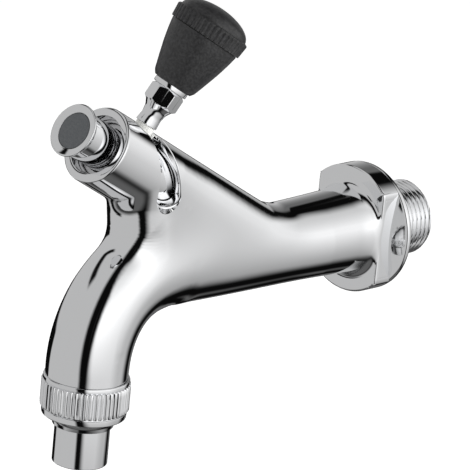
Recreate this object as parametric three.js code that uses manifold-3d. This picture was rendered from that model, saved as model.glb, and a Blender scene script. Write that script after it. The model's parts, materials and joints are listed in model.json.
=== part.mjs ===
// Lever draw-off tap (hose bib) of chromed brass. A lever swings in a helical slot in the
// inclined barrel, so that its sleeve slides the valve spindle; a knurled union nut holds the
// nozzle under the spout. Millimetres, +Z up, +Y towards the wall, lever side +X.
// The origin is on the shank's axis, on the collar face that meets the wall.

import * as THREE from 'three';
import { mergeVertices } from 'three/addons/utils/BufferGeometryUtils.js';
import Module from 'manifold-3d';

const wasm = await Module();
wasm.setup();

const degrees = THREE.MathUtils.degToRad;

// Wall end, on the Y axis: thread (nominal 5/8 pipe), collar with two spanner flats, shank.
const THREAD_RADIUS = 11.46;
const THREAD_PITCH = 1.814;
const THREAD_DEPTH = 1.16;
const THREAD_LENGTH = 18.4;
const COLLAR_RADIUS = 19.6;
const COLLAR_LENGTH = 8.3;
const COLLAR_LIP = 2.6;
const COLLAR_FLAT = 13.8;
const FLARE_RADIUS = 15.6;
const FLARE_END = -38;
const SHANK_RADIUS = 12.1;
const INLET_RADIUS = 6.5;

// Barrel: its front face, tilt and bore. Depths along it count inwards from the front face.
const BARREL_TILT = degrees(30.5);
const BARREL_Y = -115.5;
const BARREL_Z = 41.4;
const BARREL_RADIUS = 11.46;
const BARREL_BORE = 8.77;
const BARREL_LENGTH = 76;
const SEAT_DEPTH = 66;
const CHAMBER_RADIUS = 7.4;
const CHAMBER_END = 81.5;
const NUT_POCKET_RADIUS = 5;
const NUT_POCKET_END = 86;
const PORT_DEPTH = 57.5;
const PORT_RADIUS = 4.5;

// Helical slot and lever travel. The lever stands at LEVER_REST from straight up.
const LEVER_REST = degrees(10);
const LEVER_TRAVEL = degrees(94);
const LEVER_DEPTH = 12.2;
const HELIX_LEAD = 7.62;
const SLOT_HALF_WIDTH = 3.85;
const SLOT_HALF_AXIAL = 4.6;

// Spout, on a vertical line at SPOUT_Y, with its union nut and nozzle.
const SPOUT_Y = -111.2;
const SPOUT_RADIUS = 12.2;
const SPOUT_BORE = 6.5;
const SPOUT_SHOULDER = -28;
const SPOUT_THREAD_RADIUS = 10.2;
const SPOUT_END = -34;
const NUT_RADIUS = 13.1;
const NUT_TOP = -28.4;
const NUT_KNURL_TOP = -29.3;
const NUT_KNURL_END = -38.2;
const NUT_BAND_END = -40.2;
const NUT_END = -43.4;
const KNURL_COUNT = 52;
const NOZZLE_RADIUS = 8.1;
const NOZZLE_BORE = 6.2;
const NOZZLE_END = -55.1;

// Spindle and knob.
const ROD_RADIUS = 6.6;
const BUTTON_RADIUS = 7.9;
const BUTTON_FACE = -11;
const GAP = 0.3;
const KNOB_START = 25.8;
const KNOB_SHOULDER = 41.9;
const KNOB_RADIUS = 10.6;
const BAND_RADIUS = 11.6;
const BAND_END = 46.4;
const DOME_TOP = 51.5;

const FACETS = 32;
const SMALL_FACETS = 20;

function finish(color, roughness, metalness) {
  return new THREE.MeshStandardMaterial({ color, roughness, metalness });
}

const chrome = finish(0xd8dadd, 0.08, 1);
const steel = finish(0xb9bcc0, 0.3, 1);
const brass = finish(0xc9a24f, 0.3, 1);
const rubber = finish(0x1b1b1c, 0.85, 0);
const knobPlastic = finish(0x2b2b2c, 0.55, 0);
const insetPlastic = finish(0x55585a, 0.5, 0);
const nylon = finish(0xe6e4dc, 0.45, 0);

// A solid for joining and cutting, from any closed geometry.
function toSolid(geometry) {
  const bare = geometry.clone();
  bare.deleteAttribute('normal');
  bare.deleteAttribute('uv');
  const merged = mergeVertices(bare, 1e-4);
  const corners = merged.index.array;
  const kept = [];
  for (let i = 0; i < corners.length; i += 3) {
    const [a, b, c] = [corners[i], corners[i + 1], corners[i + 2]];
    if (a !== b && b !== c && c !== a) kept.push(a, b, c);
  }
  const vertProperties = new Float32Array(merged.attributes.position.array);
  const triVerts = new Uint32Array(kept);
  return new wasm.Manifold(new wasm.Mesh({ numProp: 3, vertProperties, triVerts }));
}

function toGeometry(solid) {
  const mesh = solid.getMesh();
  const geometry = new THREE.BufferGeometry();
  geometry.setAttribute('position', new THREE.BufferAttribute(mesh.vertProperties, 3));
  geometry.setIndex(new THREE.BufferAttribute(mesh.triVerts, 1));
  geometry.computeVertexNormals();
  return geometry;
}

// A turned piece on the Y axis, from the outline of its section as [radius, height] corners.
function turnedOnY(outline, facets = FACETS) {
  const corners = outline.map(([radius, height]) => new THREE.Vector2(radius, height));
  if (THREE.ShapeUtils.area(corners) < 0) corners.reverse();
  corners.push(corners[0].clone());
  return new THREE.LatheGeometry(corners, facets);
}

// The same, on the Z axis.
function turned(outline, facets = FACETS) {
  return turnedOnY(outline, facets).rotateX(Math.PI / 2);
}

function ring(inner, outer, low, high, facets = SMALL_FACETS) {
  return turned([[inner, low], [outer, low], [outer, high], [inner, high]], facets);
}

function disc(radius, low, high, facets = FACETS) {
  return turned([[0, low], [radius, low], [radius, high], [0, high]], facets);
}

// A round-section ring, such as an O-ring.
function torus(middle, section, height) {
  const geometry = new THREE.TorusGeometry(middle, section, 6, SMALL_FACETS);
  return geometry.translate(0, 0, height);
}

// Corners of a ridged length on the Y axis, from low to high, one ridge for each pitch.
function ridges(low, high, crest) {
  const root = crest - THREAD_DEPTH;
  const corners = [];
  const count = Math.floor((high - low) / THREAD_PITCH);
  for (let i = 0; i < count; i += 1) {
    const start = low + i * THREAD_PITCH;
    corners.push([root, start], [crest, start + 0.5 * THREAD_PITCH]);
  }
  return corners;
}

// A tube of oval sections through points in the YZ plane. Each section is
// [y, z, half width along X, half height across the path].
function tube(sections, facets = FACETS) {
  const last = sections.length - 1;
  const geometry = new THREE.CylinderGeometry(1, 1, 1, facets, last);
  const places = geometry.attributes.position;
  for (let i = 0; i < places.count; i += 1) {
    const at = Math.round((0.5 - places.getY(i)) * last);
    const [y, z, halfWidth, halfHeight] = sections[at];
    const before = sections[Math.max(at - 1, 0)];
    const after = sections[Math.min(at + 1, last)];
    const along = new THREE.Vector2(after[0] - before[0], after[1] - before[1]).normalize();
    const up = places.getZ(i) * halfHeight;
    places.setXYZ(i, places.getX(i) * halfWidth, y + up * along.y, z - up * along.x);
  }
  return geometry;
}

// The frame of the barrel: its Z axis runs inwards, its -Y side is the top.
function intoBarrel(object) {
  object.rotation.x = -(Math.PI / 2 + BARREL_TILT);
  object.position.set(0, BARREL_Y, BARREL_Z);
  object.updateMatrix();
  return object;
}

function barrelPoint(depth) {
  const y = BARREL_Y + depth * Math.cos(BARREL_TILT);
  return [y, BARREL_Z - depth * Math.sin(BARREL_TILT)];
}

// Sections of a tube bent from the vertical spout towards the wall, on an arc.
function bend(low, radius, centreZ, size, steps, sweep) {
  const sections = [[SPOUT_Y, low, size, size]];
  for (let i = 0; i <= steps; i += 1) {
    const turn = (sweep * i) / steps;
    const y = SPOUT_Y + radius * (1 - Math.cos(turn));
    sections.push([y, centreZ + radius * Math.sin(turn), size, size]);
  }
  return sections;
}

function wallEnd() {
  const outline = [[0, -85], [SHANK_RADIUS + 0.8, -85], [SHANK_RADIUS, FLARE_END]];
  for (let i = 1; i <= 5; i += 1) {
    const part = i / 5;
    const radius = SHANK_RADIUS + (FLARE_RADIUS - SHANK_RADIUS) * part * part;
    outline.push([radius, FLARE_END + (-COLLAR_LENGTH - FLARE_END) * part]);
  }
  outline.push([COLLAR_RADIUS - 1, -COLLAR_LENGTH], [COLLAR_RADIUS, -COLLAR_LENGTH + 1]);
  outline.push([COLLAR_RADIUS, 0], [THREAD_RADIUS + 0.4, 0], [THREAD_RADIUS + 0.4, -0.5]);
  outline.push([THREAD_RADIUS - THREAD_DEPTH, -0.5]);
  outline.push(...ridges(0.4, THREAD_LENGTH - 0.8, THREAD_RADIUS));
  outline.push([THREAD_RADIUS - THREAD_DEPTH - 0.6, THREAD_LENGTH], [0, THREAD_LENGTH]);
  let solid = toSolid(turnedOnY(outline));
  for (const side of [-1, 1]) {
    const flat = new THREE.BoxGeometry(10, FLARE_END * -1 - COLLAR_LIP, 50);
    flat.translate(side * (COLLAR_FLAT + 5), (FLARE_END - COLLAR_LIP) / 2, 0);
    solid = solid.subtract(toSolid(flat));
  }
  return solid;
}

// The filled web between barrel, shank and spout, rounded at its edges.
function web() {
  const side = new THREE.Shape();
  side.moveTo(-52, 4);
  side.lineTo(-99, 32);
  side.quadraticCurveTo(-93, 17, -100, 5);
  side.lineTo(-96, -7);
  side.quadraticCurveTo(-92, -9, -80, -5);
  side.closePath();
  const halfWidth = 10;
  const edge = 4;
  const geometry = new THREE.ExtrudeGeometry(side, {
    depth: 2 * (halfWidth - edge), bevelThickness: edge, bevelSize: edge, bevelSegments: 2,
    curveSegments: 6,
  });
  geometry.translate(0, 0, edge - halfWidth);
  const standing = new THREE.Matrix4().makeBasis(
    new THREE.Vector3(0, 1, 0), new THREE.Vector3(0, 0, 1), new THREE.Vector3(1, 0, 0),
  );
  return toSolid(geometry.applyMatrix4(standing));
}

function barrelSolid(geometry) {
  const frame = intoBarrel(new THREE.Object3D()).matrix;
  return toSolid(geometry.applyMatrix4(frame));
}

// The slot's cutter: a ring sector sheared into a helix, with a round end at each stop.
function slotCutter() {
  const inner = BARREL_BORE - 1.5;
  const outer = BARREL_RADIUS + 2;
  const start = LEVER_REST - Math.PI / 2;
  const end = start + LEVER_TRAVEL;
  const sector = new THREE.Shape();
  sector.absarc(0, 0, outer, start, end, false);
  sector.absarc(0, 0, inner, end, start, true);
  const depth = 2 * SLOT_HALF_AXIAL;
  const geometry = new THREE.ExtrudeGeometry(sector, {
    depth, bevelEnabled: false, curveSegments: 10,
  });
  const places = geometry.attributes.position;
  for (let i = 0; i < places.count; i += 1) {
    const turn = Math.atan2(places.getY(i), places.getX(i)) - start;
    const shift = LEVER_DEPTH - SLOT_HALF_AXIAL + HELIX_LEAD * turn;
    places.setZ(i, places.getZ(i) + shift);
  }
  let cutter = barrelSolid(geometry);
  for (const turn of [0, LEVER_TRAVEL]) {
    const hole = new THREE.CylinderGeometry(SLOT_HALF_WIDTH, SLOT_HALF_WIDTH, outer - inner, 20);
    hole.translate(0, -(outer + inner) / 2, 0);
    hole.rotateZ(LEVER_REST + turn);
    hole.translate(0, 0, LEVER_DEPTH + HELIX_LEAD * turn);
    cutter = cutter.add(barrelSolid(hole));
  }
  return cutter;
}

// The water's way: inlet, valve chamber, port under the barrel, and the spout's passage.
function passages() {
  const inlet = turnedOnY([[0, -52], [INLET_RADIUS, -52], [INLET_RADIUS, 20], [0, 20]]);
  const chamber = disc(CHAMBER_RADIUS, SEAT_DEPTH - 1, CHAMBER_END);
  const pocket = disc(NUT_POCKET_RADIUS, CHAMBER_END - 1, NUT_POCKET_END, SMALL_FACETS);
  const port = new THREE.CylinderGeometry(PORT_RADIUS, PORT_RADIUS, 15, SMALL_FACETS);
  port.translate(0, 7.5, PORT_DEPTH);
  const spout = bend(SPOUT_END - 1, 26, -25, SPOUT_BORE, 7, Math.PI / 2);
  const [portY, portZ] = barrelPoint(PORT_DEPTH);
  spout.push([portY - 12, 0, SPOUT_BORE, SPOUT_BORE - 1]);
  spout.push([portY - 3, portZ - 13, PORT_RADIUS, PORT_RADIUS]);
  let cut = toSolid(inlet).add(barrelSolid(chamber)).add(barrelSolid(pocket));
  cut = cut.add(barrelSolid(port)).add(toSolid(tube(spout)));
  return cut.add(barrelSolid(disc(BARREL_BORE, -1, SEAT_DEPTH)));
}

function tapBody() {
  const barrel = disc(BARREL_RADIUS, 0, BARREL_LENGTH);
  const arm = bend(SPOUT_SHOULDER, 31, -26, SPOUT_RADIUS, 8, degrees(80));
  const threadedEnd = disc(SPOUT_THREAD_RADIUS, SPOUT_END, SPOUT_SHOULDER + 1);
  threadedEnd.translate(0, SPOUT_Y, 0);
  const snapGroove = disc(9.4, 3, 4.3);
  let solid = wallEnd().add(barrelSolid(barrel)).add(toSolid(tube(arm))).add(web());
  solid = solid.add(toSolid(threadedEnd));
  solid = solid.subtract(passages()).subtract(slotCutter());
  return toGeometry(solid.subtract(barrelSolid(snapGroove)));
}

// Spindle: rod with its piston, in barrel depths.
function spindleRod() {
  const outline = [
    [0, -9.1], [3, -9.1], [3, -8.6], [ROD_RADIUS, -8.6], [ROD_RADIUS, 8.1], [4.6, 8.1],
    [4.6, 35.6], [3.9, 35.6], [3.9, 36.7], [4.6, 36.7], [4.6, 37.6], [8.3, 37.6],
    [8.3, 38.5], [6.2, 38.5], [6.2, 40.7], [8.3, 40.7], [8.3, 41.4], [6.2, 41.4],
    [6.2, 43.6], [8.3, 43.6], [8.3, 44.4], [3.4, 46], [3.4, 66.2], [2.2, 66.2], [2.2, 72.8],
    [0, 72.8],
  ];
  return turned(outline, SMALL_FACETS);
}

function buttonHead() {
  const face = BUTTON_FACE;
  return turned([
    [3.3, face + 2.1], [3.3, face + 1.6], [0, face + 1.6], [0, face + 1.2], [5.7, face + 1.2],
    [5.7, face + 0.8], [BUTTON_RADIUS - 0.5, face], [BUTTON_RADIUS, face + 0.3],
    [BUTTON_RADIUS, face + 0.8], [ROD_RADIUS, face + 2.1],
  ]);
}

// The gland guides the rod, and an O-ring lies in the groove of its bore.
function glandBush() {
  const bore = ROD_RADIUS + GAP;
  return turned([
    [bore, 4.5], [8, 4.5], [8.45, 4.9], [8.45, 8], [bore, 8], [bore, 7.1], [7.9, 7.1],
    [7.9, 5.4], [bore, 5.4],
  ], SMALL_FACETS);
}

// The stem screws into the sleeve, so the sleeve has a hole in its top.
function leverSleeve() {
  const wall = ring(4.9, 8.45, 8.4, 34.2, FACETS);
  const hole = new THREE.CylinderGeometry(2.6, 2.6, 6, SMALL_FACETS);
  hole.translate(0, -7, 0).rotateZ(LEVER_REST).translate(0, 0, LEVER_DEPTH);
  return toGeometry(toSolid(wall).subtract(toSolid(hole)));
}

function valveNut() {
  const hexagon = new THREE.CylinderGeometry(4, 4, 2.3, 6).rotateX(Math.PI / 2);
  hexagon.translate(0, 0, 71.1);
  return toGeometry(toSolid(hexagon).subtract(toSolid(disc(2.5, 69, 73, SMALL_FACETS))));
}

// Lever stem, on its own Z axis, with heights counted from the barrel's axis.
function leverStem() {
  const stem = turned([
    [0, 6.2], [2.2, 6.2], [2.3, 12.6], [3.1, 12.6], [3.1, 14.6], [3.4, 16.8], [4.4, 18.8],
    [4.4, 24.2], [2.4, 24.2], [2.4, 35.4], [0, 35.4],
  ], SMALL_FACETS);
  const hexagon = new THREE.CylinderGeometry(5.3, 5.3, 5.4, 6).rotateX(Math.PI / 2);
  hexagon.translate(0, 0, 21.5);
  return toGeometry(toSolid(stem).add(toSolid(hexagon)));
}

function knobBody() {
  const outline = [[4.6, KNOB_START], [5.7, KNOB_START], [6.3, KNOB_START + 0.6]];
  for (const [part, radius] of [[0.3, 7.9], [0.6, 9.3], [0.85, 10.2], [1, KNOB_RADIUS]]) {
    outline.push([radius, KNOB_START + (KNOB_SHOULDER - KNOB_START) * part]);
  }
  outline.push([8.2, KNOB_SHOULDER], [8.2, 38], [4.6, 36.8]);
  return turned(outline);
}

function knobCap() {
  const base = KNOB_SHOULDER + GAP;
  const outline = [[0, 38.6], [7.8, 38.6], [7.8, base], [BAND_RADIUS - 0.3, base]];
  outline.push([BAND_RADIUS, BAND_END], [KNOB_RADIUS, BAND_END]);
  const rise = DOME_TOP - BAND_END;
  for (const turn of [22, 45, 67].map(degrees)) {
    outline.push([KNOB_RADIUS * Math.cos(turn), BAND_END + rise * Math.sin(turn)]);
  }
  outline.push([0, DOME_TOP]);
  return turned(outline);
}

// Nut: knurled outside, a threaded bore above and an inner lip that lifts the nozzle.
function unionNut() {
  const outline = new THREE.Shape();
  const steps = KNURL_COUNT * 2;
  for (let i = 0; i < steps; i += 1) {
    const radius = i % 2 ? NUT_RADIUS : NUT_RADIUS - 0.5;
    const turn = (2 * Math.PI * i) / steps;
    outline[i ? 'lineTo' : 'moveTo'](radius * Math.cos(turn), radius * Math.sin(turn));
  }
  const band = new THREE.ExtrudeGeometry(outline, {
    depth: NUT_KNURL_TOP - NUT_KNURL_END, bevelEnabled: false,
  });
  band.translate(0, 0, NUT_KNURL_END);
  const core = turned([
    [0, NUT_TOP], [NUT_RADIUS - 0.6, NUT_TOP], [NUT_RADIUS - 0.7, NUT_BAND_END],
    [11.1, -40.8], [9.9, -41.6], [9.1, -42.6], [8.9, NUT_END], [0, NUT_END],
  ]);
  const bore = turned([
    [0, NUT_TOP + 1], [10.6, NUT_TOP + 1], [10.6, -38.6], [8.5, -38.6], [8.5, NUT_END - 1],
    [0, NUT_END - 1],
  ]);
  return toGeometry(toSolid(band).add(toSolid(core)).subtract(toSolid(bore)));
}

function nozzle() {
  return turned([
    [NOZZLE_BORE, -36.3], [10.1, -36.3], [10.1, -38.3], [NOZZLE_RADIUS, -38.3],
    [NOZZLE_RADIUS, NOZZLE_END + 0.4], [NOZZLE_RADIUS - 0.4, NOZZLE_END],
    [NOZZLE_BORE, NOZZLE_END],
  ]);
}

// A ring with four vanes that calms the water.
function flowStraightener() {
  let solid = toSolid(ring(4.9, 5.9, -48, -39, SMALL_FACETS));
  for (const turn of [0, 90]) {
    const vane = new THREE.BoxGeometry(10.4, 0.8, 9).rotateZ(degrees(turn));
    solid = solid.add(toSolid(vane.translate(0, 0, -43.5)));
  }
  return toGeometry(solid);
}

function place(parent, name, geometry, material) {
  const mesh = new THREE.Mesh(geometry, material);
  mesh.name = name;
  parent.add(mesh);
}

const tap = new THREE.Group();
place(tap, 'tap_body', tapBody(), chrome);

const barrel = intoBarrel(new THREE.Group());
place(barrel, 'gland_snap_ring', ring(8.2, 9.1, 3.3, 4.1), steel);
place(barrel, 'gland_bush', glandBush(), steel);
place(barrel, 'gland_oring', torus(7.4, 0.45, 6.25), rubber);
place(barrel, 'seat_ring', ring(4.6, 8.4, 62.4, 65.7), brass);
place(barrel, 'seat_oring', torus(7.3, 1, 61), rubber);
place(barrel, 'spindle_rod', spindleRod(), chrome);
place(barrel, 'button_head', buttonHead(), chrome);
place(barrel, 'button_inset', disc(5.35, BUTTON_FACE + 0.55, BUTTON_FACE + 0.9), insetPlastic);
place(barrel, 'thrust_washer', ring(4.9, 8.2, 34.5, 35.3), steel);
place(barrel, 'sleeve_circlip', ring(4.2, 6.8, 35.8, 36.5), steel);
place(barrel, 'piston_oring_front', torus(7.5, 0.95, 39.6), rubber);
place(barrel, 'piston_oring_rear', torus(7.5, 0.95, 42.5), rubber);
place(barrel, 'valve_disc', ring(2.5, 6.6, 66.5, 68.7), rubber);
place(barrel, 'valve_washer', ring(2.5, 5.5, 69, 69.6, SMALL_FACETS), brass);
place(barrel, 'valve_nut', valveNut(), brass);
place(barrel, 'lever_sleeve', leverSleeve(), steel);

const swing = new THREE.Group();
swing.position.z = LEVER_DEPTH;
swing.rotation.z = LEVER_REST;
const lever = new THREE.Group();
lever.rotation.x = Math.PI / 2;
place(lever, 'slot_bush', ring(2.5, 2.95, 8.9, 12.3, SMALL_FACETS), nylon);
place(lever, 'lever_stem', leverStem(), chrome);
place(lever, 'knob_ferrule', ring(2.7, 5.2, 24.5, 25.5), chrome);
place(lever, 'knob_insert', ring(2.7, 4.3, 26.2, 36.2), brass);
place(lever, 'knob_body', knobBody(), knobPlastic);
place(lever, 'knob_cap', knobCap(), knobPlastic);
swing.add(lever);
barrel.add(swing);
tap.add(barrel);

const outlet = new THREE.Group();
outlet.position.y = SPOUT_Y;
place(outlet, 'nozzle_gasket', ring(6.7, 10, -36, -34.3), rubber);
place(outlet, 'nozzle', nozzle(), chrome);
place(outlet, 'flow_straightener', flowStraightener(), nylon);
place(outlet, 'union_nut', unionNut(), chrome);
tap.add(outlet);

export default tap;
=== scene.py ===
import json
import math

import bmesh
import bpy
import numpy as np
from mathutils import Matrix, Vector

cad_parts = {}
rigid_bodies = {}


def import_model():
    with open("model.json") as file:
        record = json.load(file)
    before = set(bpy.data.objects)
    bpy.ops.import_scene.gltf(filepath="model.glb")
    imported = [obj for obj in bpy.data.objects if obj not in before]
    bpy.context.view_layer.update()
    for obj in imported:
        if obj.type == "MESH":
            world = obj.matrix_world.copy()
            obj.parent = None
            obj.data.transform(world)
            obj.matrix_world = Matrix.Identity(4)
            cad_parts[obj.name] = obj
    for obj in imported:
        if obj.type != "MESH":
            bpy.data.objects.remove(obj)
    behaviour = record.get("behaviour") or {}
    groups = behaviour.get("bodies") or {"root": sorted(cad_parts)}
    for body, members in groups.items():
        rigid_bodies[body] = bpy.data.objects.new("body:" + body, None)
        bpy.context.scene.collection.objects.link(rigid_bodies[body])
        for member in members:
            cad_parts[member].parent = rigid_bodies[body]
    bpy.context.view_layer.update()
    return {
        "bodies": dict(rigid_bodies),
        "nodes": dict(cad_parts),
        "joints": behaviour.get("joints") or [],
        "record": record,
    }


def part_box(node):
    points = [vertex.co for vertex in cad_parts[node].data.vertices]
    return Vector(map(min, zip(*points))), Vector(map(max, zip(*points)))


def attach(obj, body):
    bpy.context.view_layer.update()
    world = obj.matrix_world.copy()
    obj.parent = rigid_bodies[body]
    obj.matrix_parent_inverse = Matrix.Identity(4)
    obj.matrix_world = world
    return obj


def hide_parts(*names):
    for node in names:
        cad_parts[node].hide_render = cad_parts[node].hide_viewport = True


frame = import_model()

# The view and the room. A tap of chrome is seen by what it mirrors, so the room is a white soft
# box on the lever's side with dark gaps round its edge, a grey wall behind, and a white backdrop
# that only the camera sees.
bpy.context.scene.view_settings.view_transform = "Standard"
azimuth, elevation, roll = math.radians(44.33), math.radians(17.73), math.radians(5.64)
aim = Vector((-0.0005, -0.0557, 0.005))
back = Vector((
    math.sin(azimuth) * math.cos(elevation),
    -math.cos(azimuth) * math.cos(elevation),
    math.sin(elevation),
))
lens = bpy.data.cameras.new("camera")
lens.lens = 306.4
lens.clip_end = 20
camera = bpy.data.objects.new("camera", lens)
bpy.context.scene.collection.objects.link(camera)
turn = back.to_track_quat("Z", "Y").to_matrix().to_4x4() @ Matrix.Rotation(roll, 4, "Z")
camera.matrix_world = Matrix.Translation(aim + back * 1.178) @ turn
bpy.context.scene.camera = camera

world = bpy.data.worlds.new("studio")
bpy.context.scene.world = world
world.use_nodes = True
net = world.node_tree
net.nodes.clear()


def maths(net, operation, first, second=None, third=None):
    """A Math node fed with numbers or sockets."""
    node = net.nodes.new("ShaderNodeMath")
    node.operation = operation
    for place, value in enumerate((first, second, third)):
        if value is None:
            continue
        if isinstance(value, (int, float)):
            node.inputs[place].default_value = value
        else:
            net.links.new(value, node.inputs[place])
    return node.outputs[0]


def between(net, value, low, high, soft):
    """1 where value lies between low and high, fading to 0 over soft at both ends."""
    rise = step(net, value, low - soft, low + soft)
    fall = step(net, value, high - soft, high + soft)
    return maths(net, "MULTIPLY", rise, maths(net, "SUBTRACT", 1.0, fall))


def step(net, value, low, high):
    """A smooth step from 0 at low to 1 at high."""
    node = net.nodes.new("ShaderNodeMapRange")
    node.interpolation_type = "SMOOTHSTEP"
    node.inputs["From Min"].default_value = low
    node.inputs["From Max"].default_value = high
    net.links.new(value, node.inputs["Value"])
    return node.outputs["Result"]


def ramp(net, value, low, high, start, end):
    """A straight ramp from start at low to end at high."""
    node = net.nodes.new("ShaderNodeMapRange")
    for name, amount in (("From Min", low), ("From Max", high), ("To Min", start), ("To Max", end)):
        node.inputs[name].default_value = amount
    net.links.new(value, node.inputs["Value"])
    return node.outputs["Result"]


def towards(net, direction, vector):
    """How far the vector points in a direction, 1 when it points straight there."""
    node = net.nodes.new("ShaderNodeVectorMath")
    node.operation = "DOT_PRODUCT"
    node.inputs[1].default_value = direction
    net.links.new(vector, node.inputs[0])
    return node.outputs["Value"]


# The soft box stands across the room, the wall behind, and the slit is the gap at their meeting.
place = net.nodes.new("ShaderNodeTexCoord").outputs["Generated"]
across = towards(net, (0.903, 0.335, 0.115), place)
sideways = towards(net, (0.7154, 0.6988, 0), place)
front = step(net, towards(net, (0.6988, -0.7154, 0), place), 0.3, 0.6)
depth = towards(net, (0, 1, 0), place)
height = towards(net, (0, 0, 1), place)
left = towards(net, (-0.92, 0.39, 0), place)
box = maths(net, "MULTIPLY", step(net, across, 0.27, 0.57), ramp(net, depth, 0.35, 0.75, 1.5, 1.08))
box = maths(net, "MULTIPLY", box, ramp(net, height, -0.75, 0.2, 0.27, 1.0))
box = maths(net, "MULTIPLY", box, ramp(net, height, 0.35, 0.75, 1.0, 0.6))
steep = maths(net, "ABSOLUTE", height)
behind = maths(net, "MULTIPLY_ADD", steep, 0.56, towards(net, (-0.35, 0.75, 0), place))
wall = maths(net, "MULTIPLY", step(net, across, 0.12, -0.03), ramp(net, behind, 0.8, 0.98, 0.62, 0.16))
seam = maths(net, "MULTIPLY", between(net, steep, 0.6, 0.72, 0.03), step(net, left, 0.1, 0.3))
corner = maths(net, "MULTIPLY", between(net, height, -0.52, -0.1, 0.03), step(net, left, 0.8, 0.84))
wall = maths(net, "MULTIPLY", wall, maths(net, "SUBTRACT", 1.0, maths(net, "MAXIMUM", seam, corner)))
slit = maths(net, "MULTIPLY", between(net, sideways, -0.15, 0.03, 0.07), front)
light = maths(net, "MULTIPLY", maths(net, "ADD", box, wall), maths(net, "SUBTRACT", 1.0, slit))
light = maths(net, "MULTIPLY_ADD", light, step(net, height, -0.86, -0.66), 0.004)
# Straight below lies the dim floor.
light = maths(net, "MULTIPLY_ADD", step(net, height, -0.8, -0.93), 0.13, light)
rays = net.nodes.new("ShaderNodeLightPath")
mirrored = net.nodes.new("ShaderNodeBackground")
net.links.new(light, mirrored.inputs["Strength"])
backdrop = net.nodes.new("ShaderNodeBackground")
backdrop.inputs["Color"].default_value = (1, 1, 1, 1)
mix = net.nodes.new("ShaderNodeMixShader")
net.links.new(rays.outputs["Is Camera Ray"], mix.inputs["Fac"])
net.links.new(mirrored.outputs[0], mix.inputs[1])
net.links.new(backdrop.outputs[0], mix.inputs[2])
out = net.nodes.new("ShaderNodeOutputWorld")
net.links.new(mix.outputs[0], out.inputs["Surface"])

# A plain pale floor well below the tap, and two soft lamps.
bm = bmesh.new()
bmesh.ops.create_grid(bm, x_segments=1, y_segments=1, size=6)
bmesh.ops.translate(bm, vec=(0, 0, -0.2), verts=bm.verts)
floor_mesh = bpy.data.meshes.new("floor")
bm.to_mesh(floor_mesh)
bm.free()
floor = bpy.data.objects.new("floor", floor_mesh)
bpy.context.scene.collection.objects.link(floor)
floor.visible_glossy = False
paint = bpy.data.materials.new("floor_paint")
paint.use_nodes = True
paint.node_tree.nodes["Principled BSDF"].inputs["Base Color"].default_value = (0.95, 0.95, 0.95, 1)
paint.node_tree.nodes["Principled BSDF"].inputs["Roughness"].default_value = 0.9
paint.node_tree.nodes["Principled BSDF"].inputs["Emission Color"].default_value = (1, 1, 1, 1)
paint.node_tree.nodes["Principled BSDF"].inputs["Emission Strength"].default_value = 0.5
floor_mesh.materials.append(paint)

for name, spot, size, power in (
    ("soft_box", (1.0, 0.35, 0.35), 0.9, 9),
    ("front_fill", (-0.5, -1.0, 0.9), 0.8, 7),
):
    lamp = bpy.data.lights.new(name, "AREA")
    lamp.size = size
    lamp.energy = power
    lamp_object = bpy.data.objects.new(name, lamp)
    lamp_object.matrix_world = Matrix.Translation(spot) @ (
        (Vector(spot) - aim).to_track_quat("Z", "Y").to_matrix().to_4x4()
    )
    lamp_object.visible_glossy = False
    bpy.context.scene.collection.objects.link(lamp_object)


# The casting: one brass body, poured, ground, polished and chromed. The inclined barrel runs
# straight down into the shank, the spout bends out of it, and a web fills the crotch between.
mm = 0.001
hinge = next(joint for joint in frame["joints"] if joint["name"] == "lever_turn")
inwards = Vector(hinge["axis"]).normalized()
lever_depth = 12.2 * mm
barrel_face = Vector(hinge["pos_m"]) - inwards * lever_depth
barrel_frame = Matrix.Translation(barrel_face) @ Matrix((
    (1, 0, 0), (0, inwards.z, inwards.y), (0, -inwards.y, inwards.z),
)).to_4x4()
barrel_radius = 11.46 * mm
shank_radius = 12.1 * mm
spout_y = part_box("nozzle")[0].y / 2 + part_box("nozzle")[1].y / 2
spout_radius = 12.15 * mm
bend_radius = 31 * mm
bend_z = -26 * mm
torso_end_y = -82 * mm
collar_flat = 13.8 * mm
web_corners = np.array([(-50, 3), (-94, 23), (-91, 1)]) * mm
web_half_width = 11.4 * mm


def nearest_on_line(points, start, end):
    """The spot on a line from start to end that is nearest to each point."""
    start, end = np.array(start, float), np.array(end, float)
    along = end - start
    part = np.clip((points - start) @ along / (along @ along), 0, 1)
    return start + part[:, None] * along


def from_centre(points, centre, radius):
    """Height above a tube's skin round the centre, and the way out."""
    away = points - centre
    reach = np.linalg.norm(away, axis=1) + 1e-9
    return reach - radius, away / reach[:, None]


def filleted(first, second, reach):
    """Two surfaces joined with a fillet, larger where they meet at a sharper angle."""
    (a, normal_a), (b, normal_b) = first, second
    meeting = np.sqrt(np.clip(1 - (normal_a * normal_b).sum(1), 0, 2) / 2)
    size = reach * meeting + 1e-5
    part = np.clip(0.5 + 0.5 * (b - a) / size, 0, 1)
    normal = normal_a * part[:, None] + normal_b * (1 - part[:, None])
    normal /= np.linalg.norm(normal, axis=1)[:, None] + 1e-9
    return b + (a - b) * part - size * part * (1 - part), normal


def shank_surface(points):
    """The shank: a tube that widens to the collar and rises a little under the torso."""
    centre = nearest_on_line(points, (0, 10 * mm, 0), (0, torso_end_y, 0))
    rise = np.clip((-40 * mm - centre[:, 1]) / (38 * mm), 0, 1)
    centre[:, 2] += 0.9 * mm * rise * rise
    y = points[:, 1]
    cone = np.clip((y + 48 * mm) / (40 * mm), 0, 1) ** 2 * 1.2 * mm
    flare = np.clip((y + 15 * mm) / (6.7 * mm), 0, 1) ** 2 * 0.8 * mm
    swell = np.clip((-48 * mm - y) / (40 * mm), 0, 1) ** 2 * 0.5 * mm
    return from_centre(points, centre, shank_radius + cone + flare + swell)


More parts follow.
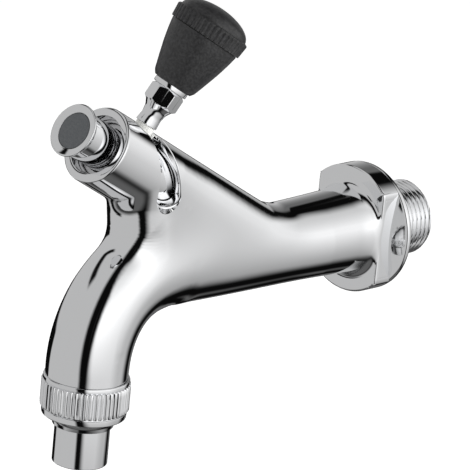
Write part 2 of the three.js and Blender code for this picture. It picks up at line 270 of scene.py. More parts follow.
def collar_surface(points):
    """The collar's rim and front face."""
    reach = np.hypot(points[:, 0], points[:, 2]) + 1e-9
    side = reach - 19.45 * mm
    front = -8.28 * mm - points[:, 1]
    outward = np.stack((points[:, 0], 0 * reach, points[:, 2]), axis=1) / reach[:, None]
    facing = np.tile((0.0, -1.0, 0.0), (len(points), 1))
    return np.maximum(side, front), np.where((side > front)[:, None], outward, facing)


def spout_surface(points):
    """The spout: a bend out of the torso and a straight drop."""
    middle = np.array((0, spout_y + bend_radius, bend_z))
    away = points - middle
    turn = np.clip(np.arctan2(away[:, 2], -away[:, 1]), 0, math.radians(85))
    on_bend = middle + bend_radius * np.stack(
        (0 * turn, -np.cos(turn), np.sin(turn)), axis=1
    )
    straight = (points[:, 2] < bend_z) & (points[:, 1] < middle[1])
    upright = np.stack(
        (0 * turn, 0 * turn + spout_y, np.maximum(points[:, 2], -50 * mm)), axis=1
    )
    return from_centre(points, np.where(straight[:, None], upright, on_bend), spout_radius)


def barrel_surface(points):
    """The inclined barrel."""
    start = barrel_face - inwards * 0.010
    centre = nearest_on_line(points, start, barrel_face + inwards * 0.074)
    return from_centre(points, centre, barrel_radius)


def web_surface(points):
    """A rounded triangular plate that fills the crotch between barrel, shank and spout."""
    flat = points[:, 1:]
    best = np.full(len(points), np.inf)
    nearest = flat.copy()
    inside = np.ones(len(points), bool)
    for i in range(3):
        a, b = web_corners[i], web_corners[(i + 1) % 3]
        spot = nearest_on_line(flat, a, b)
        gap = np.linalg.norm(flat - spot, axis=1)
        nearest = np.where((gap < best)[:, None], spot, nearest)
        best = np.minimum(best, gap)
        side = (b - a)[0] * (flat - a)[:, 1] - (b - a)[1] * (flat - a)[:, 0]
        inside &= side > 0
    nearest[inside] = flat[inside]
    centre = np.concatenate((np.zeros((len(points), 1)), nearest), axis=1)
    return from_centre(points, centre, web_half_width)


def casting_surface(points):
    """Height above the whole casting: its parts joined with fillets, and the spanner flats."""
    surface = filleted(shank_surface(points), spout_surface(points), 18 * mm)
    surface = filleted(surface, web_surface(points), 9 * mm)
    saddle = np.clip((points[:, 1] + 92 * mm) / (24 * mm), 0, 1)
    saddle *= saddle * (3 - 2 * saddle) * np.clip((-34 * mm - points[:, 1]) / (18 * mm), 0, 1)
    surface = filleted(surface, barrel_surface(points), (8 + 10 * saddle) * mm)
    height, _ = filleted(surface, collar_surface(points), 3.2 * mm)
    side = np.abs(points[:, 0]) - collar_flat
    side = np.where(points[:, 1] > -32 * mm, side, -1)
    soft = 1.2 * mm
    part = np.clip(0.5 - 0.5 * (side - height) / soft, 0, 1)
    return side + (height - side) * part + soft * part * (1 - part)


def neighbour_middle(spots, ends, neighbours):
    """The middle of each vertex's neighbours."""
    middle = np.zeros_like(spots)
    for axis in range(3):
        middle[:, axis] += np.bincount(ends[:, 0], spots[ends[:, 1], axis], len(spots))
        middle[:, axis] += np.bincount(ends[:, 1], spots[ends[:, 0], axis], len(spots))
    return middle / neighbours


def settle(mesh, rounds, relax, fair):
    """Moves every vertex onto the casting's surface, with its neighbours evenly spaced."""
    count = len(mesh.vertices)
    spots = np.empty(count * 3)
    mesh.vertices.foreach_get("co", spots)
    spots = spots.reshape(-1, 3)
    ends = np.empty(len(mesh.edges) * 2, int)
    mesh.edges.foreach_get("vertices", ends)
    ends = ends.reshape(-1, 2)
    neighbours = np.bincount(ends.ravel(), minlength=count)[:, None]
    for _ in range(rounds):
        if relax:
            spots += relax * (neighbour_middle(spots, ends, neighbours) - spots)
        height = casting_surface(spots)
        slope = np.empty_like(spots)
        for axis in range(3):
            nudge = np.zeros(3)
            nudge[axis] = 0.02 * mm
            slope[:, axis] = casting_surface(spots + nudge) - casting_surface(spots - nudge)
        slope /= np.linalg.norm(slope, axis=1)[:, None] + 1e-9
        spots -= slope * height[:, None]
    if fair:
        # The torso's broad sides are ground fair by hand; the collar, slot and mouth are left.
        facing = np.abs(slope[:, 0])
        share = np.clip((facing - 0.5) / 0.25, 0, 1)
        share *= np.clip((spots[:, 1] + 112 * mm) / (10 * mm), 0, 1)
        share *= np.clip((-26 * mm - spots[:, 1]) / (10 * mm), 0, 1)
        off_barrel = (spots - np.array(barrel_face)) @ np.array(inwards)
        low_down = np.clip((11 * mm - spots[:, 2]) / (10 * mm), 0, 1)
        share *= np.clip((off_barrel - 27 * mm) / (12 * mm) + low_down, 0, 1)
        for _ in range(fair):
            away = neighbour_middle(spots, ends, neighbours) - spots
            spots += (share * 0.7)[:, None] * away
    mesh.vertices.foreach_set("co", spots.ravel())
    mesh.update()


def as_object(name, bm):
    """A new object made from the bmesh, which is freed."""
    mesh = bpy.data.meshes.new(name)
    bm.to_mesh(mesh)
    bm.free()
    piece = bpy.data.objects.new(name, mesh)
    bpy.context.scene.collection.objects.link(piece)
    return piece


def apply_modifiers(piece):
    """Replaces the piece's mesh with the one its modifiers give."""
    bpy.context.view_layer.update()
    graph = bpy.context.evaluated_depsgraph_get()
    mesh = bpy.data.meshes.new_from_object(piece.evaluated_get(graph))
    old = piece.data
    piece.modifiers.clear()
    piece.data = mesh
    bpy.data.meshes.remove(old)


def rod_between(bm, start, end, radius, steps=32):
    """A plain rod from start to end."""
    start, end = Vector(start), Vector(end)
    turn = (end - start).to_track_quat("Z", "Y").to_matrix().to_4x4()
    place = Matrix.Translation((start + end) / 2) @ turn
    bmesh.ops.create_cone(
        bm, cap_ends=True, segments=steps, radius1=radius, radius2=radius,
        depth=(end - start).length, matrix=place,
    )


def turned(bm, outline, frame, steps=96):
    """A body of revolution about the frame's Z axis from (radius, height) corners in mm."""
    corners = [bm.verts.new(frame @ Vector((r * mm, 0, z * mm))) for r, z in outline]
    edges = [bm.edges.new(pair) for pair in zip(corners, corners[1:] + corners[:1])]
    centre, axis = frame.translation, frame.to_3x3() @ Vector((0, 0, 1))
    bmesh.ops.spin(
        bm, geom=corners + edges, cent=centre, axis=axis, angle=math.tau, steps=steps,
        use_merge=True,
    )
    bmesh.ops.remove_doubles(bm, verts=bm.verts, dist=1e-6)
    bmesh.ops.dissolve_degenerate(bm, dist=1e-6, edges=bm.edges)
    bmesh.ops.recalc_face_normals(bm, faces=bm.faces)


def cut(piece, tool):
    """Takes the tool's shape out of the piece and removes the tool."""
    knife = piece.modifiers.new("cut", "BOOLEAN")
    knife.operation = "DIFFERENCE"
    knife.solver = "EXACT"
    knife.object = tool
    apply_modifiers(piece)
    bpy.data.objects.remove(tool)


# The rough body: rods, a bent tube and a plate, joined into one skin that then settles.
bm = bmesh.new()
rod_between(bm, (0, 6 * mm, 0), (0, torso_end_y, 0), shank_radius + 0.002)
rod_between(bm, (0, 6 * mm, 0), (0, -8.3 * mm, 0), 19 * mm, 64)
rod_between(bm, barrel_face - inwards * 0.012, barrel_face + inwards * 0.078, barrel_radius)
rod_between(bm, (0, spout_y, -32 * mm), (0, spout_y, bend_z), spout_radius)
ring = bmesh.ops.create_circle(
    bm, segments=32, radius=spout_radius, cap_ends=True,
    matrix=Matrix.Translation((0, spout_y, bend_z)),
)
bend_centre = (0, spout_y + bend_radius, bend_z)
ring_faces = list({face for vert in ring["verts"] for face in vert.link_faces})
bmesh.ops.spin(
    bm, geom=ring["verts"] + ring_faces, cent=bend_centre, axis=(-1, 0, 0),
    angle=math.radians(85), steps=12, use_duplicate=False,
)
base = [(0, y, z) for y, z in web_corners]
panel = bm.faces.new([bm.verts.new(Vector(spot) - Vector((web_half_width, 0, 0))) for spot in base])
grown = bmesh.ops.extrude_face_region(bm, geom=[panel])
bmesh.ops.translate(
    bm, vec=(2 * web_half_width, 0, 0),
    verts=[part for part in grown["geom"] if isinstance(part, bmesh.types.BMVert)],
)
bmesh.ops.recalc_face_normals(bm, faces=bm.faces)
tap_casting = as_object("tap_casting", bm)
skin = tap_casting.modifiers.new("skin", "REMESH")
skin.mode = "VOXEL"
skin.voxel_size = 1.1 * mm
apply_modifiers(tap_casting)
bm = bmesh.new()
bm.from_mesh(tap_casting.data)
# Only the outer skin is kept.
waiting, skins = set(bm.verts), []
while waiting:
    found, to_visit = set(), [waiting.pop()]
    while to_visit:
        vert = to_visit.pop()
        found.add(vert)
        for edge in vert.link_edges:
            other = edge.other_vert(vert)
            if other in waiting:
                waiting.discard(other)
                to_visit.append(other)
    skins.append(found)
skins.sort(key=len)
for inner_skin in skins[:-1]:
    bmesh.ops.delete(bm, geom=list(inner_skin), context="VERTS")
bm.to_mesh(tap_casting.data)
bm.free()
settle(tap_casting.data, 12, 0.6, 0)
bm = bmesh.new()
bm.from_mesh(tap_casting.data)
bmesh.ops.subdivide_edges(bm, edges=bm.edges, cuts=1, use_grid_fill=True)
bm.to_mesh(tap_casting.data)
bm.free()
settle(tap_casting.data, 5, 0.4, 160)

# The barrel's mouth is faced off and eased, and its bore, the valve chamber and the nut's pocket
# are turned from there.
bm = bmesh.new()
turned(bm, [
    (0, -25), (30, -25), (30, 0.9), (11.56, 0.9), (11.4, 0.4), (11.15, 0.12), (10.8, 0),
    (9.2, 0), (8.9, 0.12), (8.77, 0.45), (8.77, 3), (9.3, 3.1), (9.3, 4.2), (8.77, 4.3),
    (8.77, 66), (7.4, 66), (7.4, 81.5), (5, 81.5), (5, 86), (0, 86),
], barrel_frame)
cut(tap_casting, as_object("mouth_tool", bm))

# The slot is milled as a helix through the barrel's wall, and its outer edge is eased. The tool
# starts flat, as a stack of (level, ease) outlines, and is then wrapped round the barrel.
slot_half = 3.85
slot_from, slot_to = math.radians(10), math.radians(106)
lead = 7.62
bm = bmesh.new()
levels = ((6.5, 0), (11.05, 0), (11.25, 0.05), (11.42, 0.18), (11.6, 0.38), (16, 0.5))
across = (slot_to - slot_from) * barrel_radius / mm
slant = math.atan2(lead * mm, barrel_radius)
length = across / math.cos(slant)
turn_round = bmesh.ops.create_circle(bm, segments=64, radius=slot_half)["verts"]
for vert in turn_round:
    vert.co.x += length / 2 * (1 if vert.co.x > 1e-6 else -1 if vert.co.x < -1e-6 else 0)
bmesh.ops.subdivide_edges(
    bm, edges=[edge for edge in bm.edges if edge.calc_length() > 2], cuts=30
)
bmesh.ops.contextual_create(bm, geom=bm.edges[:])
edge_loop = bm.edges[:]
for level, _ in levels[1:]:
    made = bmesh.ops.extrude_edge_only(bm, edges=edge_loop)["geom"]
    edge_loop = [part for part in made if isinstance(part, bmesh.types.BMEdge)]
    for vert in (part for part in made if isinstance(part, bmesh.types.BMVert)):
        vert.co.z = level
bmesh.ops.contextual_create(bm, geom=edge_loop)
grow = dict(levels)
for vert in bm.verts:
    middle = Vector((max(-length / 2, min(length / 2, vert.co.x)), 0, 0))
    outward = Vector((vert.co.x, vert.co.y, 0)) - middle
    level = vert.co.z if vert.co.z > 1 else levels[0][0]
    flat = middle + outward * (1 + grow[min(grow, key=lambda k: abs(k - level))] / slot_half)
    run = flat.x * math.cos(slant) - flat.y * math.sin(slant)
    depth = flat.x * math.sin(slant) + flat.y * math.cos(slant)
    angle = (slot_from + slot_to) / 2 + run * mm / barrel_radius
    depth += lever_depth / mm + lead * (slot_to - slot_from) / 2
    vert.co = barrel_frame @ (Vector((
        level * math.sin(angle), -level * math.cos(angle), depth,
    )) * mm)
bmesh.ops.recalc_face_normals(bm, faces=bm.faces)
cut(tap_casting, as_object("slot_tool", bm))

# The spout's end is faced off and bored, and the shank is bored from the wall side.
upright = Matrix.Translation((0, spout_y, 0))
bm = bmesh.new()
turned(bm, [
    (0, -60), (20, -60), (20, -28.6), (12.3, -28.6), (12.0, -28.3), (11.7, -28.1), (6.5, -28.1),
    (6.5, -24), (0, -24),
], upright, 96)
cut(tap_casting, as_object("spout_tool", bm))
bm = bmesh.new()
alongside = Matrix.Rotation(math.radians(-90), 4, "X")
turned(bm, [(0, -52), (6.5, -52), (6.5, -2.7), (30, -2.7), (30, 30), (0, 30)], alongside, 64)
cut(tap_casting, as_object("shank_tool", bm))


def surface_finish(piece, angle=32):
    """Smooth shading with crisp corners."""
    piece.data.shade_smooth()
    piece.data.set_sharp_from_angle(angle=math.radians(angle))


def even_flats(piece):
    """Keeps the large flat faces flat in smooth shading."""
    piece.modifiers.new("even", "WEIGHTED_NORMAL").keep_sharp = True
    apply_modifiers(piece)


surface_finish(tap_casting)


def polish_group():
    """Smears in the shine, and the faint waviness of a hand-polished casting."""
    group = bpy.data.node_groups.new("polish", "ShaderNodeTree")
    face = group.interface
    face.new_socket("Scale", in_out="INPUT", socket_type="NodeSocketFloat")
    face.new_socket("Clean", in_out="INPUT", socket_type="NodeSocketFloat")
    face.new_socket("Roughness", in_out="OUTPUT", socket_type="NodeSocketFloat")
    face.new_socket("Height", in_out="OUTPUT", socket_type="NodeSocketFloat")
    start = group.nodes.new("NodeGroupInput")
    end = group.nodes.new("NodeGroupOutput")
    place = group.nodes.new("ShaderNodeTexCoord").outputs["Object"]
    smear = group.nodes.new("ShaderNodeTexNoise")
    smear.inputs["Detail"].default_value = 4
    group.links.new(place, smear.inputs["Vector"])
    group.links.new(start.outputs["Scale"], smear.inputs["Scale"])
    smears = step(group, smear.outputs["Fac"], 0.45, 0.75)
    rough = maths(group, "MULTIPLY_ADD", smears, 0.05, start.outputs["Clean"])
    fine = group.nodes.new("ShaderNodeTexNoise")
    fine.inputs["Scale"].default_value = 1800
    fine.inputs["Detail"].default_value = 2
    group.links.new(place, fine.inputs["Vector"])
    rough = maths(group, "MULTIPLY_ADD", fine.outputs["Fac"], 0.03, rough)
    group.links.new(rough, end.inputs["Roughness"])
    wave = group.nodes.new("ShaderNodeTexNoise")
    wave.inputs["Scale"].default_value = 90
    wave.inputs["Detail"].default_value = 1
    group.links.new(place, wave.inputs["Vector"])
    group.links.new(wave.outputs["Fac"], end.inputs["Height"])
    return group


polish = polish_group()


def metal(name, color, clean, scale=60.0, wavy=0.02):
    """Bare or plated metal, whose roughness where it is clean is given."""
    material = bpy.data.materials.new(name)
    material.use_nodes = True
    net = material.node_tree
    shader = net.nodes["Principled BSDF"]
    shader.inputs["Base Color"].default_value = (*color, 1)
    shader.inputs["Metallic"].default_value = 1
    finish = net.nodes.new("ShaderNodeGroup")
    finish.node_tree = polish
    finish.inputs["Scale"].default_value = scale
    finish.inputs["Clean"].default_value = clean
    net.links.new(finish.outputs["Roughness"], shader.inputs["Roughness"])
    bump = net.nodes.new("ShaderNodeBump")
    bump.inputs["Strength"].default_value = wavy
    bump.inputs["Distance"].default_value = 0.001
    net.links.new(finish.outputs["Height"], bump.inputs["Height"])
    net.links.new(bump.outputs["Normal"], shader.inputs["Normal"])
    return material


chrome = metal("chrome_plate", (0.93, 0.935, 0.945), 0.02)
tap_casting.data.materials.append(chrome)
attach(tap_casting, "tap")
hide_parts("tap_body")


# The wall end: the collar with its two spanner flats, its round lip on the wall side, and the
# parallel pipe thread behind it. Turned and milled on the same brass body, then chromed with it.
collar_radius = 19.6
flat_at = 13.78
flat_corner = math.acos(flat_at / collar_radius)
thread_pitch = 1.814
thread_core = 10.3
thread_height = 1.16
thread_end = 18.4
bm = bmesh.new()
outline = []
for side in (0, 1):
    for i in range(65):
        turn = math.pi / 2 - flat_corner - (math.pi - 2 * flat_corner) * i / 64
        turn += math.pi * side + math.pi / 2
        outline.append((collar_radius * math.cos(turn), collar_radius * math.sin(turn)))
rim = [bm.verts.new(Vector((x, -8.3, z)) * mm) for x, z in outline]
front = bm.faces.new(rim)
grown = bmesh.ops.extrude_face_region(bm, geom=[front])
bmesh.ops.translate(
    bm, vec=(0, 6.3 * mm, 0),
    verts=[part for part in grown["geom"] if isinstance(part, bmesh.types.BMVert)],
)
bmesh.ops.recalc_face_normals(bm, faces=bm.faces)
corners = [
    edge for edge in bm.edges
    if abs(edge.verts[0].co.y - edge.verts[1].co.y) > 5 * mm
    and abs(abs(edge.verts[0].co.x) - flat_at * mm) < 0.01 * mm
]
bmesh.ops.bevel(
    bm, geom=corners, offset=1.3 * mm, segments=5, profile=0.5, affect="EDGES", material=-1
)
front_edges = [edge for edge in bm.edges if all(vert.co.y < -8.2 * mm for vert in edge.verts)]
bmesh.ops.bevel(
    bm, geom=front_edges, offset=0.8 * mm, segments=5, profile=0.5, affect="EDGES", material=-1
)
turned(bm, [
    (6.6, -4.8), (12.0, -4.6), (18.7, -2.25), (19.0, -2.15), (19.3, -2.0), (19.5, -1.8),
    (19.58, -1.6), (collar_radius, -1.3), (19.58, -0.95), (19.48, -0.6), (19.25, -0.3),
    (18.95, -0.08), (18.6, 0), (11.9, 0), (11.9, -0.5), (6.6, -0.5),
], alongside, 192)
thread_rows = 150
thread_profile = [(6.5, 4.0), (6.5, 17.9), (7.0, thread_end)]
thread_profile += [
    (thread_core, thread_end - 19.4 * i / thread_rows) for i in range(thread_rows + 1)
]
turned(bm, thread_profile + [(9.0, -1.0), (9.0, 4.0)], alongside, 144)
for vert in bm.verts:
    reach = math.hypot(vert.co.x, vert.co.z)
    if abs(reach - thread_core * mm) < 0.02 * mm and vert.co.y > -1.1 * mm:
        y = vert.co.y / mm
        turns = y / thread_pitch - math.atan2(vert.co.z, vert.co.x) / math.tau
        wave = abs(2 * (turns % 1) - 1)
        rise = min(1, max(0, (wave - 0.1) / 0.8))
        rise = rise + 0.35 * (rise * rise * (3 - 2 * rise) - rise)
        rise *= min(1, max(0, (y - 0.9) / 1.0))
        size = min(thread_core + thread_height * rise, 10.0 + (thread_end - y))
        vert.co.x *= size / thread_core
        vert.co.z *= size / thread_core
tap_collar = as_object("tap_collar", bm)
surface_finish(tap_collar, 40)
even_flats(tap_collar)
tap_collar.data.materials.append(chrome)
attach(tap_collar, "tap")
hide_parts("tap_body")


# The spindle: a chromed steel rod with a piston land inside the barrel. Its button head is
# screwed on, and has a turned rim round a shallow recess.
def eased(*corners):
    """An outline whose corners given as (radius, height, ease) are rounded by their ease."""
    points = []
    for i, corner in enumerate(corners):
        spot = Vector(corner[:2])
        if len(corner) == 2:
            points.append(tuple(spot))
            continue
        before = (Vector(corners[i - 1][:2]) - spot).normalized()
        after = (Vector(corners[(i + 1) % len(corners)][:2]) - spot).normalized()
        half = before.angle(after) / 2
        reach = corner[2] / math.tan(half)
        centre = spot + (before + after).normalized() * (corner[2] / math.sin(half))
        start, end = spot + before * reach - centre, spot + after * reach - centre
        span = start.angle_signed(end)
        for k in range(6):
            arm = start.copy()
            arm.rotate(Matrix.Rotation(-span * k / 5, 2))
            points.append(tuple(centre + arm))
    return points


def turned_piece(name, frame, outline, steps=128, angle=32):
    """A piece turned on the lathe about the frame's Z axis."""
    bm = bmesh.new()
    turned(bm, outline, frame, steps)
    piece = as_object(name, bm)
    surface_finish(piece, angle)
    return piece


def finish_piece(piece, body, node, material):
    """Gives a piece its material and its body, and hides the node it stands for."""
    piece.data.materials.clear()
    piece.data.materials.append(material)
    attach(piece, body)
    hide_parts(node)


trim = metal("chrome_trim", (0.93, 0.935, 0.945), 0.025, 90)
rod = turned_piece("rod", barrel_frame, eased(
    (0, -9.4), (6.6, -9.4), (6.6, 8.1, 0.2), (4.6, 8.1), (4.6, 35.6), (3.9, 35.6), (3.9, 36.7),
    (4.6, 36.7), (4.6, 37.6), (8.3, 37.6, 0.2), (8.3, 38.5), (6.2, 38.5), (6.2, 40.7),
    (8.3, 40.7), (8.3, 41.4), (6.2, 41.4), (6.2, 43.6), (8.3, 43.6), (8.3, 44.4, 0.2),
    (3.4, 46), (3.4, 66.2), (2.2, 66.2), (2.2, 72.8, 0.2), (0, 72.8),
))
finish_piece(rod, "spindle", "spindle_rod", trim)
button_rim = turned_piece("button", barrel_frame, eased(
    (0, -9.8), (5.5, -9.8, 0.1), (5.5, -10.3, 0.12), (5.85, -10.4, 0.15), (7.5, -11, 0.2),
    (7.95, -10.9, 0.25), (7.9, -10.3, 0.35), (7.0, -9.5, 0.6), (6.62, -8.6), (0, -8.6),
))
finish_piece(button_rim, "spindle", "button_head", trim)


# The button's inset: a disc of dark grey plastic with a fine matt grain, pressed into the
# recess of the head.
def grain_group():
    """Moulded grain: two shades, an uneven shine and a height."""
    group = bpy.data.node_groups.new("grain", "ShaderNodeTree")
    face = group.interface
    face.new_socket("Scale", in_out="INPUT", socket_type="NodeSocketFloat")
    face.new_socket("Rough", in_out="INPUT", socket_type="NodeSocketFloat")
    face.new_socket("Dark", in_out="INPUT", socket_type="NodeSocketColor")
    face.new_socket("Light", in_out="INPUT", socket_type="NodeSocketColor")
    face.new_socket("Color", in_out="OUTPUT", socket_type="NodeSocketColor")
    face.new_socket("Roughness", in_out="OUTPUT", socket_type="NodeSocketFloat")
    face.new_socket("Height", in_out="OUTPUT", socket_type="NodeSocketFloat")
    start = group.nodes.new("NodeGroupInput")
    end = group.nodes.new("NodeGroupOutput")
    place = group.nodes.new("ShaderNodeTexCoord").outputs["Object"]
    grains = group.nodes.new("ShaderNodeTexNoise")
    grains.inputs["Detail"].default_value = 5
    grains.inputs["Roughness"].default_value = 0.65
    group.links.new(place, grains.inputs["Vector"])
    group.links.new(start.outputs["Scale"], grains.inputs["Scale"])
    blend = group.nodes.new("ShaderNodeMix")
    blend.data_type = "RGBA"
    group.links.new(step(group, grains.outputs["Fac"], 0.35, 0.65), blend.inputs["Factor"])
    group.links.new(start.outputs["Dark"], blend.inputs["A"])
    group.links.new(start.outputs["Light"], blend.inputs["B"])
    group.links.new(blend.outputs["Result"], end.inputs["Color"])
    wear = group.nodes.new("ShaderNodeTexNoise")
    wear.inputs["Scale"].default_value = 120
    wear.inputs["Detail"].default_value = 3
    group.links.new(place, wear.inputs["Vector"])
    rough = maths(group, "MULTIPLY_ADD", wear.outputs["Fac"], 0.2, start.outputs["Rough"])
    group.links.new(rough, end.inputs["Roughness"])
    group.links.new(grains.outputs["Fac"], end.inputs["Height"])
    return group


grain = grain_group()


def grained(name, dark, light, rough, scale, depth):
    """Plastic or rubber with a moulded grain between two shades."""
    material = bpy.data.materials.new(name)
    material.use_nodes = True
    net = material.node_tree
    shader = net.nodes["Principled BSDF"]
    finish = net.nodes.new("ShaderNodeGroup")
    finish.node_tree = grain
    finish.inputs["Scale"].default_value = scale
    finish.inputs["Rough"].default_value = rough
    finish.inputs["Dark"].default_value = (*dark, 1)
    finish.inputs["Light"].default_value = (*light, 1)
    net.links.new(finish.outputs["Color"], shader.inputs["Base Color"])
    net.links.new(finish.outputs["Roughness"], shader.inputs["Roughness"])
    bump = net.nodes.new("ShaderNodeBump")
    bump.inputs["Strength"].default_value = depth
    bump.inputs["Distance"].default_value = 0.0002
    net.links.new(finish.outputs["Height"], bump.inputs["Height"])
    net.links.new(bump.outputs["Normal"], shader.inputs["Normal"])
    return material


inset = turned_piece("button_face", barrel_frame, eased(
    (0, -10.35), (5.35, -10.35, 0.12), (5.35, -9.9), (0, -9.9),
))
inset_plastic = grained(
    "button_plastic", (0.075, 0.08, 0.085), (0.1, 0.105, 0.11), 0.5, 2500, 0.3
)
finish_piece(inset, "spindle", "button_inset", inset_plastic)

# The lever: a turned steel stem with a waist and a milled hexagon, chromed. Its foot stands on
# the bush that runs in the slot and screws into the sleeve, and a thin ferrule sits under the knob.
lever_top = (barrel_frame.to_3x3() @ Vector((
    math.sin(math.radians(10)), -math.cos(math.radians(10)), 0,
))).normalized()
lever_side = inwards.cross(lever_top).normalized()
lever_frame = Matrix.Translation(Vector(hinge["pos_m"])) @ Matrix((
    lever_side, inwards, lever_top,
)).transposed().to_4x4()
bm = bmesh.new()
turned(bm, eased(
    (0, 6.2), (2.2, 6.2), (2.3, 12.4), (3.35, 12.4, 0.15), (3.2, 13.6, 1.5),
    (3.05, 15.2, 4), (3.4, 17.2, 3), (4.3, 18.8, 0.5), (4.6, 20), (4.6, 24.2, 0.1), (2.4, 24.2),
    (2.4, 35.4, 0.3), (0, 35.4),
), lever_frame)
lever_stem = as_object("lever", bm)
bm = bmesh.new()
bmesh.ops.create_cone(
    bm, cap_ends=True, segments=6, radius1=5.3 * mm, radius2=5.3 * mm, depth=5.4 * mm,
    matrix=lever_frame @ Matrix.Translation((0, 0, 21.5 * mm)) @ Matrix.Rotation(0.21, 4, "Z"),
)
bmesh.ops.bevel(
    bm, geom=bm.edges[:], offset=0.18 * mm, segments=3, profile=0.5, affect="EDGES", material=-1
)
hexagon = as_object("hexagon", bm)
bm = bmesh.new()
turned(bm, eased(
    (0, 18.7), (4.2, 18.7, 0.3), (5.25, 19.5, 0.6), (5.45, 20.4, 1), (5.45, 22.6, 1),
    (5.25, 23.5, 0.6), (4.4, 24.25, 0.3), (0, 24.25),
), lever_frame)
keep = hexagon.modifiers.new("keep", "BOOLEAN")
keep.operation = "INTERSECT"
keep.solver = "EXACT"
keep.object = as_object("turning", bm)
apply_modifiers(hexagon)
bpy.data.objects.remove(bpy.data.objects["turning"])
bm = bmesh.new()
bm.from_mesh(lever_stem.data)
bm.from_mesh(hexagon.data)
bm.to_mesh(lever_stem.data)
bm.free()
bpy.data.objects.remove(hexagon)
surface_finish(lever_stem, 25)
even_flats(lever_stem)
finish_piece(lever_stem, "lever", "lever_stem", trim)
sleeve = turned_piece("sleeve", barrel_frame, eased(
    (4.9, 8.4, 0.2), (8.45, 8.4, 0.2), (8.45, 34.2, 0.2), (4.9, 34.2, 0.2),
))
finish_piece(sleeve, "lever", "lever_sleeve", trim)
ferrule = turned_piece("ferrule", lever_frame, eased(
    (2.7, 24.27), (5.3, 24.27, 0.25), (5.3, 25.76, 0.15), (2.7, 25.76),
))
finish_piece(ferrule, "lever", "knob_ferrule", trim)

# The knob: a tapered grip of black phenolic plastic with a moulded matt grain, and a cap with a
# fluted band and a low dome pushed into it.
knob_plastic = grained("knob_plastic", (0.012, 0.012, 0.0125), (0.03, 0.03, 0.031), 0.24, 1500, 0.5)
grip = turned_piece("grip", lever_frame, eased(
    (4.6, 25.8), (5.9, 25.8, 0.4), (6.75, 27.0, 1.5), (8.0, 31.0, 30), (9.3, 35.4, 30),
    (10.2, 39.2, 20), (10.75, 42.27, 0.2), (8.2, 42.27), (8.2, 38), (4.6, 36.8),
), steps=160)
finish_piece(grip, "lever", "knob_body", knob_plastic)
bm = bmesh.new()
flutes, wave_steps = 44, 8
band_rows = [
    (11.15, 42.3, 0), (11.25, 42.35, 0.5), (11.3, 42.7, 1), (11.6, 46.0, 1), (11.6, 46.3, 0.6),
    (11.4, 46.55, 0),
]
outline = [(0, 38.6), (7.8, 38.6), (7.8, 42.3)] + [(r, z) for r, z, _ in band_rows]
outline += [
    (10.75 * math.cos(math.radians(t)), 46.55 + 5.0 * math.sin(math.radians(t)))
    for t in range(4, 90, 6)
]
outline += [(0, 51.55)]
turned(bm, outline, lever_frame, flutes * wave_steps)
back_to_knob = lever_frame.inverted()
for vert in bm.verts:
    spot = back_to_knob @ vert.co
    reach, z = math.hypot(spot.x, spot.y) / mm, spot.z / mm
    deep = next((
        depth for r, h, depth in band_rows if abs(reach - r) < 0.01 and abs(z - h) < 0.01
    ), 0)
    if deep:
        wave = math.cos(math.atan2(spot.y, spot.x) * flutes)
        dip = deep * 0.42 * (max(0, wave + 0.25) / 1.25)
        spot.x *= (reach - dip) / reach
        spot.y *= (reach - dip) / reach
        vert.co = lever_frame @ spot
cap = as_object("cap", bm)
surface_finish(cap, 38)
finish_piece(cap, "lever", "knob_cap", knob_plastic)

# The nozzle: a plain tube of chromed brass, turned. The union nut holds its flange up against
# a gasket under the spout.
outlet_nozzle = turned_piece("outlet", upright, eased(
    (6.2, -36.3), (10.1, -36.3), (10.1, -38.3), (8.1, -38.3), (8.1, -55.1, 0.35),
    (6.3, -55.1, 0.1), (6.2, -54.9),
))
finish_piece(outlet_nozzle, "nozzle", "nozzle", trim)

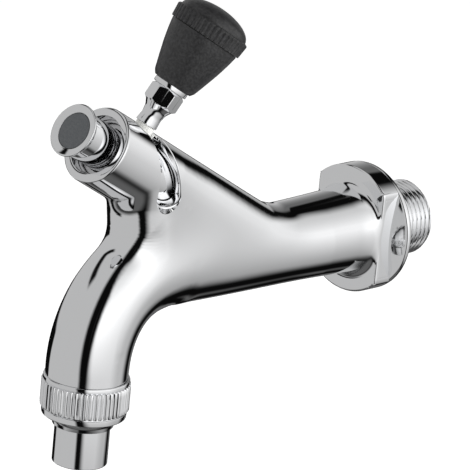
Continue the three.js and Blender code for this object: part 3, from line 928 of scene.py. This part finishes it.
# The union nut: chromed brass with a straight knurl rolled between two smooth bands, and a
# hollow curve that runs down to the nozzle.
bm = bmesh.new()
teeth, tooth_steps = 52, 10
knurl_radius = 12.55
knurl_rows = [
    (-30.0, 0), (-30.1, 0.6), (-30.4, 1), (-32, 1), (-33.5, 1), (-35, 1), (-36.5, 1), (-37.6, 1),
    (-37.95, 0.6), (-38.05, 0),
]
turned(bm, [(10.6, -28.4)] + eased(
    (11.6, -28.4, 0.2), (12.6, -28.6, 0.35), (12.7, -29.7, 0.15), (12.3, -29.9, 0.05),
)[1:] + [(knurl_radius, z) for z, _ in knurl_rows] + [(12.2, -38.15)] + eased(
    (12.1, -38.3), (12.45, -38.5, 0.1), (12.3, -40.2, 0.5), (11.4, -40.75, 0.5),
    (9.4, -41.2, 1.8), (8.9, -43.4, 0.1), (8.5, -43.4), (8.5, -38.6), (10.6, -38.6),
), upright, teeth * tooth_steps)
for vert in bm.verts:
    arm = Vector((vert.co.x, vert.co.y - spout_y))
    z = vert.co.z / mm
    if abs(arm.length / mm - knurl_radius) < 0.01 and z > -38.1:
        rise = next((lift for h, lift in knurl_rows if abs(z - h) < 0.01), 0)
        count = math.atan2(arm.y, arm.x) / math.tau * teeth
        wave = 2 * abs(count % 1 - 0.5)
        tooth = min(1, max(0, (wave - 0.18) / 0.5))
        number = int(count % teeth)
        uneven = 0.8 + 0.2 * math.sin(2.4 * number) * math.cos(1.7 * number)
        grow = 1 + rise * (0.62 * tooth * uneven - 0.05) / knurl_radius
        vert.co.x = arm.x * grow
        vert.co.y = arm.y * grow + spout_y
nut = as_object("knurled_nut", bm)
surface_finish(nut, 38)
finish_piece(nut, "nut", "union_nut", trim)

# The works inside the barrel and under the spout keep their shape and get their own finishes:
# zinc-plated steel, bare brass, black rubber and white nylon.
steel = metal("steel", (0.62, 0.62, 0.63), 0.22, 300, 0.05)
brass = metal("brass", (0.78, 0.6, 0.3), 0.25, 300, 0.05)
rubber = grained("rubber", (0.012, 0.012, 0.012), (0.02, 0.02, 0.02), 0.6, 900, 0.4)
nylon = grained("nylon", (0.72, 0.72, 0.69), (0.8, 0.8, 0.77), 0.35, 600, 0.2)
for material, names in (
    (steel, ("gland_snap_ring", "gland_bush", "thrust_washer", "sleeve_circlip")),
    (brass, ("seat_ring", "valve_washer", "valve_nut", "knob_insert")),
    (rubber, (
        "gland_oring", "seat_oring", "piston_oring_front", "piston_oring_rear", "valve_disc",
        "nozzle_gasket",
    )),
    (nylon, ("slot_bush", "flow_straightener")),
):
    for name in names:
        node = frame["nodes"][name]
        node.data.materials.clear()
        node.data.materials.append(material)
